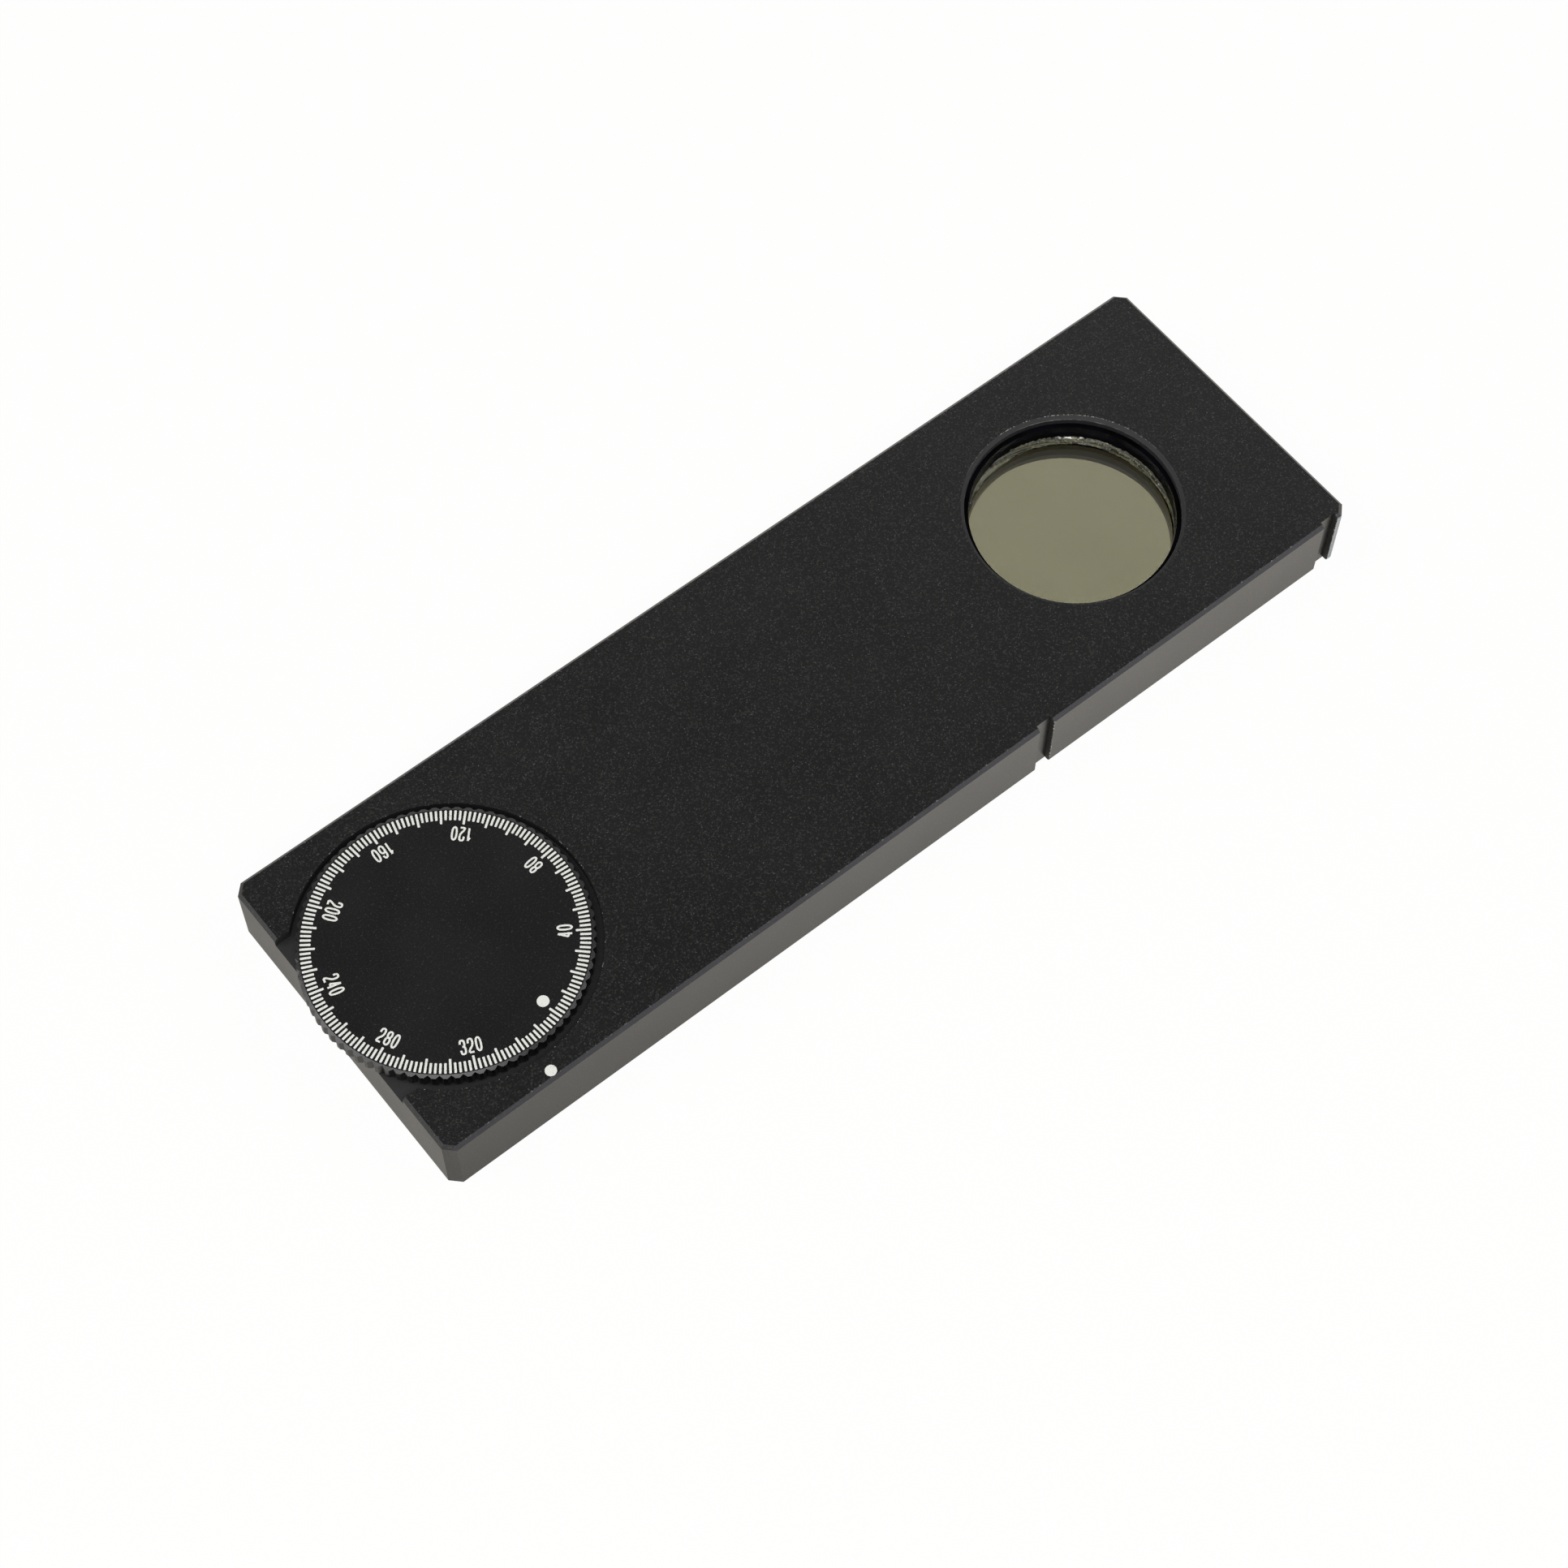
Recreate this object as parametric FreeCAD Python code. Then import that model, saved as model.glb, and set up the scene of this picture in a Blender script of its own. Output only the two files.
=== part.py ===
# Polarization analyzer: a flat slider that goes crosswise into a light path. Turning the fluted dial at
# one end turns a polarizing window at the other end by the same angle, through a hidden gear train.
# Millimetres. +X runs from the dial end to the window end, +Z is up, and the origin is at the middle
# of the underside. Every turning axis is parallel to Z and lies in the plane y = 0.
import FreeCAD, Part
import math
import os

# Gear train. The dial and the window turn together one to one: 20 to 16, then 24 to 30 past two idlers.
module = 1.0
pressure_angle = 20.0
drive_teeth = 20
pinion_teeth = 16
wheel_teeth = 24
idler_teeth = (20, 20)
cell_teeth = 30
backlash = 0.10
root_clearance = 0.25
tip_clearance = 0.4

# Layers of the slider, from the underside up
cover_thick = 1.0
cover_gap = 0.2
drive_head_thick = 0.5
lower_face_width = 2.0
level_gap = 0.3
upper_face_width = 2.0
ceiling_gap = 0.2
recess_web = 1.5
recess_depth = 1.2

# Slider outline
ledge = 1.0
side_wall = 1.6
end_wall = 1.2
end_land = 5.1
corner_chamfer = 1.1
top_chamfer = 0.4
bottom_chamfer = 0.2
cover_clearance = 0.1
cover_corner_radius = 3.0

# Detent notches in the near long side, placed from the window's axis
notch_offsets = (-20.1, 21.0)
notch_width = 2.0
notch_depth = 0.65

# Dial
dial_radius = 15.4
dial_thick = 1.8
dial_floor_gap = 0.3
dial_bore_depth = 1.1
flute_count = 80
flute_depth = 0.3
flute_crest_width = 0.45
recess_gap = 0.85
slot_half_width = 11.2

# Dial spindle, its friction washer and the screw that holds the drive gear on it
spindle_radius = 2.5
spigot_radius = 2.2
spigot_flat = 1.7
washer_inner_radius = 2.8
washer_outer_radius = 4.5
washer_lift = 0.05
drive_screw_radius = 1.0
drive_screw_head_radius = 3.2
drive_screw_length = 3.0

# Fixed pins that the cluster and the idlers turn on
pin_radius = 1.5
pin_seat_depth = 0.8
wheel_seat_radius = 4.0

# Window: body lip, rotating cell, glass sandwich and its retaining ring
window_radius = 12.0
window_chamfer = 0.4
lip_thick = 1.1
cell_top_gap = 0.1
cell_bore_step = 0.5
cell_wall = 0.9
glass_overlap = 0.3
glass_thick = 0.9
film_thick = 0.2
ring_thick = 2.35
ring_width = 0.9
ring_slot_width = 1.2
ring_slot_depth = 0.5

# Cover screws. A countersunk head is as high as the cover is thick.
cover_screw_radius = 1.0
cover_screw_length = 5.0
cover_screw_inset = 3.0

# Fits
running_fit = 0.05
seat_fit = 0.02
thread_gap = 0.05
screw_end_gap = 0.3
cut_past = 1.0

# Heights worked out from the layers
moving_z = cover_thick + cover_gap
lower_z = moving_z + drive_head_thick
lower_top_z = lower_z + lower_face_width
upper_z = lower_top_z + level_gap
upper_top_z = upper_z + upper_face_width
ceiling_z = upper_top_z + ceiling_gap
drive_ceiling_z = lower_top_z + ceiling_gap
floor_z = ceiling_z + recess_web
body_thick = floor_z + recess_depth
dial_z = floor_z + dial_floor_gap
dial_top_z = dial_z + dial_thick
lip_z = body_thick - lip_thick
cell_top_z = lip_z - cell_top_gap
ring_top_z = moving_z + ring_thick
film_z = ring_top_z + glass_thick
upper_glass_z = film_z + film_thick
glass_top_z = upper_glass_z + glass_thick


def pitch_radius(teeth):
    return module * teeth / 2


def tip_radius(teeth):
    return pitch_radius(teeth) + module


def root_radius(teeth):
    return pitch_radius(teeth) - module * (1 + root_clearance)


def pocket_radius(teeth):
    return tip_radius(teeth) + tip_clearance


# Plan positions. The slider and the dial's overhang together are centred on x = 0.
dial_from_end = pocket_radius(drive_teeth) + ledge + end_wall
cluster_step = pitch_radius(drive_teeth) + pitch_radius(pinion_teeth)
idler_1_step = pitch_radius(wheel_teeth) + pitch_radius(idler_teeth[0])
idler_2_step = pitch_radius(idler_teeth[0]) + pitch_radius(idler_teeth[1])
cell_step = pitch_radius(idler_teeth[1]) + pitch_radius(cell_teeth)
train_length = cluster_step + idler_1_step + idler_2_step + cell_step
window_to_end = pocket_radius(cell_teeth) + ledge + end_land + end_wall
body_length = dial_from_end + train_length + window_to_end
body_half_width = pocket_radius(cell_teeth) + ledge + side_wall
dial_overhang = dial_radius - dial_from_end
dial_end_x = (dial_overhang - body_length) / 2
window_end_x = dial_end_x + body_length
dial_x = dial_end_x + dial_from_end
cluster_x = dial_x + cluster_step
idler_x = (cluster_x + idler_1_step, cluster_x + idler_1_step + idler_2_step)
window_x = idler_x[1] + cell_step
pin_xs = (cluster_x, idler_x[0], idler_x[1])

# Sizes that fit one piece to another
cell_bore_radius = window_radius - cell_bore_step
glass_radius = window_radius + glass_overlap
ring_bore_radius = glass_radius - ring_width
glass_seat_radius = glass_radius + running_fit
cell_radius = glass_seat_radius + cell_wall
gear_bore_radius = pin_radius + running_fit
recess_radius = dial_radius + recess_gap
cover_x0 = dial_end_x + end_wall
cover_x1 = window_end_x - end_wall
cover_half_width = body_half_width - side_wall
cover_screw_head_radius = cover_screw_radius + cover_thick


def vec(x, y, z):
    return FreeCAD.Vector(x, y, z)


def polar(radius, angle, z):
    return vec(radius * math.cos(angle), radius * math.sin(angle), z)


def cylinder(radius, z0, z1, x=0.0, y=0.0):
    return Part.makeCylinder(radius, z1 - z0, vec(x, y, z0))


def cone(radius_0, radius_1, z0, z1, x=0.0, y=0.0):
    return Part.makeCone(radius_0, radius_1, z1 - z0, vec(x, y, z0))


def tube(inner, outer, z0, z1, x=0.0):
    return cylinder(outer, z0, z1, x).cut(cylinder(inner, z0 - cut_past, z1 + cut_past, x))


def box(x0, x1, y0, y1, z0, z1):
    return Part.makeBox(x1 - x0, y1 - y0, z1 - z0, vec(x0, y0, z0))


def involute_angle(radius, base_radius):
    """How far the involute has turned, from the base circle out to this radius."""
    if radius <= base_radius:
        return 0.0
    roll = math.sqrt((radius / base_radius) ** 2 - 1)
    return roll - math.atan(roll)


def tooth_points(teeth, centre_angle, z):
    """One tooth's corners at the root, the pitch circle and the tip, up one flank and down the other."""
    pitch = pitch_radius(teeth)
    base = pitch * math.cos(math.radians(pressure_angle))
    half_at_pitch = (math.pi * module - backlash) / 4 / pitch
    half_at_base = half_at_pitch + involute_angle(pitch, base)
    radii = (root_radius(teeth), pitch, tip_radius(teeth))
    halves = [half_at_base - involute_angle(radius, base) for radius in radii]
    rising = [polar(radius, centre_angle - half, z) for radius, half in zip(radii, halves)]
    falling = [polar(radius, centre_angle + half, z) for radius, half in zip(radii, halves)]
    return rising + falling[::-1]


def gear(teeth, phase, bore, z0, z1, x):
    """A spur gear with a tooth centred on the angle phase. bore is the outline of its hole, at height z0."""
    points = []
    for tooth in range(teeth):
        points += tooth_points(teeth, phase + 2 * math.pi * tooth / teeth, z0)
    face = Part.Face([Part.makePolygon(points + points[:1]), bore])
    face.validate()
    solid = face.extrude(vec(0, 0, z1 - z0))
    solid.translate(vec(x, 0, 0))
    return solid


def round_bore(radius, z):
    return Part.Wire(Part.makeCircle(radius, vec(0, 0, z)))


def flatted_bore(radius, flat, z):
    """A round outline with one flat, at the distance flat from its centre on the +X side."""
    half_angle = math.acos(flat / radius)
    low = polar(radius, -half_angle, z)
    high = polar(radius, half_angle, z)
    back = polar(radius, math.pi, z)
    return Part.Wire([Part.Arc(high, back, low).toShape(), Part.LineSegment(low, high).toShape()])


def meshed_phase(teeth, driver_teeth, driver_phase):
    """The phase of a gear whose space receives the driver's tooth, on the line from axis to axis."""
    driver_share = (0 - driver_phase) / (2 * math.pi / driver_teeth)
    own_share = 0.5 - driver_share
    return math.pi - own_share * 2 * math.pi / teeth


drive_phase = 0.0
pinion_phase = meshed_phase(pinion_teeth, drive_teeth, drive_phase)
wheel_phase = 0.0
idler_1_phase = meshed_phase(idler_teeth[0], wheel_teeth, wheel_phase)
idler_2_phase = meshed_phase(idler_teeth[1], idler_teeth[0], idler_1_phase)
cell_phase = meshed_phase(cell_teeth, idler_teeth[1], idler_2_phase)


def slider_block():
    """The slider's bar, with chamfered corners and chamfered top and bottom edges."""
    c = corner_chamfer
    w = body_half_width
    corners = [(dial_end_x + c, -w), (window_end_x - c, -w), (window_end_x, c - w), (window_end_x, w - c),
               (window_end_x - c, w), (dial_end_x + c, w), (dial_end_x, w - c), (dial_end_x, c - w)]
    points = [vec(x, y, 0) for x, y in corners]
    block = Part.Face(Part.makePolygon(points + points[:1])).extrude(vec(0, 0, body_thick))
    top_edges = [edge for edge in block.Edges if edge.BoundBox.ZMin > body_thick / 2]
    block = block.makeChamfer(top_chamfer, top_edges)
    bottom_edges = [edge for edge in block.Edges if edge.BoundBox.ZMax < bottom_chamfer / 2]
    return block.makeChamfer(bottom_chamfer, bottom_edges)


def rounded_plate(x0, x1, half_width, radius, z0, z1):
    plate = box(x0, x1, -half_width, half_width, z0, z1)
    uprights = [edge for edge in plate.Edges if edge.BoundBox.ZLength > (z1 - z0) / 2]
    return plate.makeFillet(radius, uprights)


def cover_screw_places():
    """Where the cover's screws stand: in the two corners of the dial end and the middle of the other end."""
    corner_x = cover_x0 + cover_screw_inset
    corner_y = cover_half_width - cover_screw_inset
    return [(corner_x, -corner_y), (corner_x, corner_y), (cover_x1 - cover_screw_inset, 0)]


def gear_pockets():
    """The spaces milled from below for the gears: three round ones, and a channel for the idlers."""
    below = cover_thick - cut_past
    channel = pocket_radius(max(idler_teeth))
    return [cylinder(pocket_radius(drive_teeth), below, drive_ceiling_z, dial_x),
            cylinder(pocket_radius(wheel_teeth), below, ceiling_z, cluster_x),
            box(cluster_x, window_x, -channel, channel, below, ceiling_z),
            cylinder(pocket_radius(cell_teeth), below, ceiling_z, window_x)]


def window_cuts():
    """The journal bore, the window's bore through the lip and the chamfer round its rim."""
    rim = cone(window_radius, window_radius + window_chamfer + cut_past,
               body_thick - window_chamfer, body_thick + cut_past, window_x)
    return [cylinder(cell_radius + running_fit, ceiling_z - cut_past, lip_z, window_x),
            cylinder(window_radius, lip_z - cut_past, body_thick + cut_past, window_x), rim]


def dial_cuts():
    """The dial's recess, open at the dial end, with the spindle's bearing bore under it."""
    slot = box(dial_end_x - cut_past, dial_x, -slot_half_width, slot_half_width, floor_z, body_thick + cut_past)
    return [cylinder(recess_radius, floor_z, body_thick + cut_past, dial_x), slot,
            cylinder(spindle_radius + running_fit, drive_ceiling_z - cut_past, floor_z + cut_past, dial_x)]


def notch_cuts():
    cuts = []
    for offset in notch_offsets:
        x = window_x + offset
        cuts.append(box(x - notch_width / 2, x + notch_width / 2, -body_half_width - cut_past,
                        notch_depth - body_half_width, -cut_past, body_thick + cut_past))
    return cuts


def make_slider_body():
    cuts = gear_pockets() + window_cuts() + dial_cuts() + notch_cuts()
    cuts.append(rounded_plate(cover_x0, cover_x1, cover_half_width, cover_corner_radius, -cut_past, cover_thick))
    for x in pin_xs:
        cuts.append(cylinder(pin_radius + seat_fit, ceiling_z - cut_past, ceiling_z + pin_seat_depth, x))
    for x, y in cover_screw_places():
        depth = cover_screw_length + screw_end_gap
        cuts.append(cylinder(cover_screw_radius + thread_gap, cover_thick - cut_past, depth, x, y))
    return slider_block().cut(cuts)


def make_cover_plate():
    """The plate that closes the gear space, with the light's bore and the screws' countersinks."""
    clear = cover_clearance
    plate = rounded_plate(cover_x0 + clear, cover_x1 - clear, cover_half_width - clear,
                          cover_corner_radius - clear, 0, cover_thick)
    cuts = [cylinder(window_radius, -cut_past, cover_thick + cut_past, window_x)]
    for x, y in cover_screw_places():
        cuts.append(cone(cover_screw_head_radius + thread_gap + cut_past, cover_screw_radius + thread_gap,
                         -cut_past, cover_thick, x, y))
    return plate.cut(cuts)


def make_cover_screws():
    """Countersunk screws, flush with the underside."""
    screws = []
    for x, y in cover_screw_places():
        head = cone(cover_screw_head_radius, cover_screw_radius, 0, cover_thick, x, y)
        shank = cylinder(cover_screw_radius, cover_thick, cover_screw_length, x, y)
        screws.append(head.fuse(shank).removeSplitter())
    return Part.makeCompound(screws)


def fluted_outline(z):
    """The dial's rim: V grooves between narrow crests, with one crest at the dial end."""
    pitch = 2 * math.pi / flute_count
    half_crest = flute_crest_width / 2 / dial_radius
    points = []
    for flute in range(flute_count):
        crest = math.pi + flute * pitch
        points.append(polar(dial_radius, crest - half_crest, z))
        points.append(polar(dial_radius, crest + half_crest, z))
        points.append(polar(dial_radius - flute_depth, crest + pitch / 2, z))
    return Part.makePolygon(points + points[:1])


def make_dial():
    """The fluted disc, bored from below for the spindle."""
    disc = Part.Face(fluted_outline(dial_z)).extrude(vec(0, 0, dial_thick))
    disc.translate(vec(dial_x, 0, 0))
    return disc.cut(cylinder(spindle_radius + seat_fit, dial_z - cut_past, dial_z + dial_bore_depth, dial_x))


def make_dial_spindle():
    """A round journal and, below its shoulder, the flatted spigot that carries the drive gear."""
    journal = cylinder(spindle_radius, lower_top_z, dial_z + dial_bore_depth, dial_x)
    spigot = Part.Face(flatted_bore(spigot_radius, spigot_flat, lower_z)).extrude(vec(0, 0, lower_face_width))
    spigot.translate(vec(dial_x, 0, 0))
    spindle = journal.fuse(spigot).removeSplitter()
    return spindle.cut(cylinder(drive_screw_radius + thread_gap, lower_z - cut_past,
                                lower_z + drive_screw_length + screw_end_gap, dial_x))


def make_dial_washer():
    """The washer between the dial and the slider, which gives the dial its drag."""
    return tube(washer_inner_radius, washer_outer_radius, floor_z, dial_z - washer_lift, dial_x)


def make_drive_gear():
    bore = flatted_bore(spigot_radius + seat_fit, spigot_flat + seat_fit, lower_z)
    return gear(drive_teeth, drive_phase, bore, lower_z, lower_top_z, dial_x)


def make_drive_screw():
    """The flat-headed screw that holds the drive gear up against the spindle's shoulder."""
    head = cylinder(drive_screw_head_radius, moving_z, lower_z, dial_x)
    shank = cylinder(drive_screw_radius, lower_z, lower_z + drive_screw_length, dial_x)
    return head.fuse(shank).removeSplitter()


def make_cluster_pinion():
    """The small gear of the cluster, with the seat of the large gear on top of it."""
    toothed = gear(pinion_teeth, pinion_phase, round_bore(gear_bore_radius, moving_z), moving_z, upper_z, cluster_x)
    seat = tube(gear_bore_radius, wheel_seat_radius, upper_z, upper_top_z, cluster_x)
    return toothed.fuse(seat).removeSplitter()


def make_cluster_wheel():
    bore = round_bore(wheel_seat_radius + seat_fit, upper_z)
    return gear(wheel_teeth, wheel_phase, bore, upper_z, upper_top_z, cluster_x)


def make_idler_gear(teeth, phase, x):
    """An idler as wide as the gear space is high, so that it needs no spacer."""
    return gear(teeth, phase, round_bore(gear_bore_radius, moving_z), moving_z, upper_top_z, x)


def make_pin(x):
    """A plain pin, pressed into the slider's roof, with its end on the cover."""
    return cylinder(pin_radius, cover_thick, ceiling_z + pin_seat_depth, x)


def make_analyzer_cell():
    """The rotating ring that holds the glass. Its teeth are cut in its rim, and its journal stands above them."""
    toothed = gear(cell_teeth, cell_phase, round_bore(cell_bore_radius, moving_z), moving_z, upper_top_z, window_x)
    journal = tube(cell_bore_radius, cell_radius, upper_top_z, cell_top_z, window_x)
    seat = cylinder(glass_seat_radius, moving_z - cut_past, glass_top_z, window_x)
    return toothed.fuse(journal).removeSplitter().cut(seat)


def make_retaining_ring():
    """The ring below the glass, with two slots for a pin spanner."""
    ring = tube(ring_bore_radius, glass_radius, moving_z, ring_top_z, window_x)
    reach = glass_radius + cut_past
    half = ring_slot_width / 2
    slots = box(window_x - reach, window_x + reach, -half, half, moving_z - cut_past, moving_z + ring_slot_depth)
    return ring.cut(slots)


def write(name, shape):
    shape.exportStep(f"parts/{name}.step")


os.makedirs("parts", exist_ok=True)
write("slider_body", make_slider_body())
write("cover_plate", make_cover_plate())
write("cover_screws", make_cover_screws())
write("dial", make_dial())
write("dial_spindle", make_dial_spindle())
write("dial_washer", make_dial_washer())
write("drive_gear", make_drive_gear())
write("drive_screw", make_drive_screw())
write("cluster_pinion", make_cluster_pinion())
write("cluster_wheel", make_cluster_wheel())
write("cluster_pin", make_pin(cluster_x))
for number, (teeth, phase, x) in enumerate(zip(idler_teeth, (idler_1_phase, idler_2_phase), idler_x), 1):
    write(f"idler_gear_{number}", make_idler_gear(teeth, phase, x))
    write(f"idler_pin_{number}", make_pin(x))
write("analyzer_cell", make_analyzer_cell())
write("upper_glass", cylinder(glass_radius, upper_glass_z, glass_top_z, window_x))
write("polarizing_film", cylinder(glass_radius, film_z, upper_glass_z, window_x))
write("lower_glass", cylinder(glass_radius, ring_top_z, film_z, window_x))
write("retaining_ring", make_retaining_ring())
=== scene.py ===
"""Looks for the polarization analyzer: a black anodised slider with a printed dial and a polarizing window.

Metres. The packed model is loaded as a fixed frame, and every piece here takes its place from it.
"""
import math

import bmesh
import bpy
from bpy.props import FloatProperty, FloatVectorProperty, IntProperty, PointerProperty
from mathutils import Matrix, Vector, noise


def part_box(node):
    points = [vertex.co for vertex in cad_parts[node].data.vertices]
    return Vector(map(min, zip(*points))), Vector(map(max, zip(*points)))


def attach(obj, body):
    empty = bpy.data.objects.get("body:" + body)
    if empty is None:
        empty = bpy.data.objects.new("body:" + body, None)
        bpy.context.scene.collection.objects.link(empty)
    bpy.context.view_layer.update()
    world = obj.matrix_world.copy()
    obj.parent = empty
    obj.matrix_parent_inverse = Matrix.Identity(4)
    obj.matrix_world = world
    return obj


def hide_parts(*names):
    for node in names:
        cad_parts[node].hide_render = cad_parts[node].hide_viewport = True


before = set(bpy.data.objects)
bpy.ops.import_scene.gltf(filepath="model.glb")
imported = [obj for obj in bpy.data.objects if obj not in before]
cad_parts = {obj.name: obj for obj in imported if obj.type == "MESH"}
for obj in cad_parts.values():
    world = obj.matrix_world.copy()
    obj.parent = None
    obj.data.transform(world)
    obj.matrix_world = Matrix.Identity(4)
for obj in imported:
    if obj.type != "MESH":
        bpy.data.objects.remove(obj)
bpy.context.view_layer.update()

bl_info = {
    "name": "Polarization analyzer",
    "version": (1, 0, 0),
    "blender": (4, 5, 0),
    "location": "3D View > Sidebar > Analyzer",
    "description": "Dresses the packed analyzer slider and sets its stage",
    "category": "Object",
}

MM = 0.001
BODY_LOW, BODY_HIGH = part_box("slider_body")
DIAL_LOW, DIAL_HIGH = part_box("dial")
DIAL_AXIS = (DIAL_LOW + DIAL_HIGH) / 2
GLASS_LOW, GLASS_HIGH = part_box("upper_glass")
FILM_LOW, FILM_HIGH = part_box("polarizing_film")
LOWER_LOW, LOWER_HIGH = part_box("lower_glass")
WINDOW_AXIS = (GLASS_LOW + GLASS_HIGH) / 2
SPINDLE_LOW, SPINDLE_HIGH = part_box("dial_spindle")
RECESS_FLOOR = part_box("dial_washer")[0].z

# What is cut into the slider, for its finish to follow
LIP_RADIUS = 12.0 * MM
TOP_CHAMFER = 0.4 * MM
RIM_RADIUS = LIP_RADIUS + TOP_CHAMFER
RECESS_RADIUS = 16.25 * MM
SLOT_REACH = 17.7 * MM
SLOT_HALF_WIDTH = 11.2 * MM
NOTCH_DEPTH = 0.65 * MM
# Where along the slider each detent notch has its wall that faces the dial end
NOTCH_ENDS = (WINDOW_AXIS.x - 19.1 * MM, WINDOW_AXIS.x + 22.0 * MM)
# How far a mask reaches past the surface it is meant for, and the width of its soft step
MASK_REACH = 0.05 * MM
SOFT_STEP = 0.02 * MM

WHITE = (1.0, 1.0, 1.0, 1.0)
TICKS = 180
LONG_TICK_EVERY = 5
DEGREES_A_NUMBER = 40
LAMP_DISTANCE = 0.9
# Name, azimuth and elevation in degrees, width in metres and power in watts of each soft lamp
SOFTBOXES = (
    ("front_softbox", 228, 58, 0.6, 4.4),
    ("left_softbox", 150, 48, 0.5, 2.6),
    ("right_softbox", -40, 45, 0.5, 2.6),
)


def linear(hex_text):
    """An sRGB hex colour as linear red, green and blue."""
    channels = [int(hex_text[place:place + 2], 16) / 255 for place in (0, 2, 4)]
    return tuple(c / 12.92 if c <= 0.04045 else ((c + 0.055) / 1.055) ** 2.4 for c in channels)


def size_property(name, description, default):
    """A length in metres that a user can change."""
    return FloatProperty(name=name, description=description, default=default, unit="LENGTH")


def colour_property(name, description, hex_text):
    """A colour that a user can change."""
    return FloatVectorProperty(name=name, description=description, default=linear(hex_text), subtype="COLOR")


class AnalyzerDialSizes(bpy.types.PropertyGroup):
    """Sizes of the fluted dial."""

    radius: size_property(
        "Radius", "From the axis to the crests of the flutes", (DIAL_HIGH.x - DIAL_LOW.x) / 2)
    flutes: IntProperty(name="Flutes", description="Number of V grooves round the rim", default=80, min=12)
    flute_depth: size_property("Flute depth", "From the crests to the bottom of the grooves", 0.3 * MM)
    slope_width: size_property("Slope width", "Shallow slope turned on the rim, seen from above", 0.4 * MM)
    slope_drop: size_property("Slope drop", "How far the slope falls at the crests", 0.14 * MM)
    bore_depth: size_property("Bore depth", "Depth of the spindle's bore in the underside", 1.1 * MM)


class AnalyzerScaleSizes(bpy.types.PropertyGroup):
    """Sizes of the printed scale."""

    outer_radius: size_property("Outer radius", "Where every tick ends", 14.89 * MM)
    short_tick: size_property("Short tick", "Length of a 2 degree tick", 1.14 * MM)
    long_tick: size_property("Long tick", "Length of a 10 degree tick", 1.58 * MM)
    tick_width: size_property("Tick width", "Width of a tick", 0.25 * MM)
    digit_height: size_property("Digit height", "Height of a numeral", 1.68 * MM)
    digit_width: size_property("Digit width", "Width of a numeral over its strokes", 0.68 * MM)
    digit_gap: size_property("Digit gap", "Space between two numerals", 0.13 * MM)
    stroke_width: size_property("Stroke width", "Width of a numeral's stroke", 0.21 * MM)
    number_radius: size_property("Number radius", "From the axis to the foot of the numerals", 13.03 * MM)
    dot_width: size_property("Zero dot", "Width of the dot that stands for zero", 1.3 * MM)
    dot_radius: size_property("Dot radius", "From the axis to the zero dot", 12.3 * MM)
    zero_direction: FloatProperty(
        name="Zero direction", description="Where the scale's zero stands at rest, from the X axis",
        default=math.radians(-74.0), unit="ROTATION")
    dot_direction: FloatProperty(
        name="Dot direction", description="Where the zero dot stands at rest, from the X axis",
        default=math.radians(-72.7), unit="ROTATION")
    index_width: size_property("Index dot", "Width of the slider's index dot", 1.25 * MM)
    index_inset: size_property("Index inset", "From the slider's near side to the index dot", 1.0 * MM)
    paint_thick: size_property("Paint", "Thickness of the paint", 0.015 * MM)


class AnalyzerWindowSizes(bpy.types.PropertyGroup):
    """Sizes of the window's glass and cement."""

    bond: size_property("Bond line", "Thickness of the bond between two discs", 0.02 * MM)
    edge_bevel: size_property("Edge bevel", "Ground bevel on a disc's edge", 0.05 * MM)
    bore_radius: size_property("Cell bore", "Radius of the cell's bore above the glass", 11.5 * MM)
    bead_width: size_property("Bead width", "Width of the cement bead on the glass", 0.75 * MM)
    bead_height: size_property("Bead height", "Height of the cement bead up the cell's wall", 0.36 * MM)


class AnalyzerScrewSizes(bpy.types.PropertyGroup):
    """Sizes of the countersunk cover screws."""

    head_radius: size_property("Head radius", "Radius of the head", 2.0 * MM)
    head_height: size_property("Head height", "Height of the head's cone", 1.0 * MM)
    shank_radius: size_property("Shank radius", "Radius of the shank", 1.0 * MM)
    length: size_property("Length", "Length over all", 5.0 * MM)
    key_width: size_property("Key width", "Width of the hexagon over flats", 1.25 * MM)
    key_depth: size_property("Key depth", "Depth of the hexagon", 0.7 * MM)


class AnalyzerColours(bpy.types.PropertyGroup):
    """Colours of the finishes, in linear light."""

    anodised: colour_property("Anodised", "Black anodising", "080808")
    anodised_speck: colour_property("Anodised speck", "Lighter specks in the anodising", "3C3C39")
    # Bare aluminium of burrs and worn edges, also used for painted glints on the window's rim and lip edge
    bare_edge: colour_property("Bare edge", "Burrs and worn edges where the aluminium shows", "A8A8A4")
    # Painted shade: a near black put where shade falls, on the walls of the window, the recess and the
    # notches, on the dial and on the cell
    milled: colour_property("Painted shade", "Dull walls of the window, the recess and the notches", "040404")
    paint: colour_property("Paint", "Paint of the scale", "ECECE6")
    film: colour_property("Film", "Tint of the polarizing film", "88856B")
    cement: colour_property("Cement", "Cement round the glass", "5E5C44")
    brass: colour_property("Brass", "Gears", "D9B66E")
    steel: colour_property("Steel", "Pins and spindle", "BDBDBA")
    washer: colour_property("Washer", "Low-friction plastic", "E4E2DA")
    floor: colour_property("Floor", "Studio floor", "FFFAF1")


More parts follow.
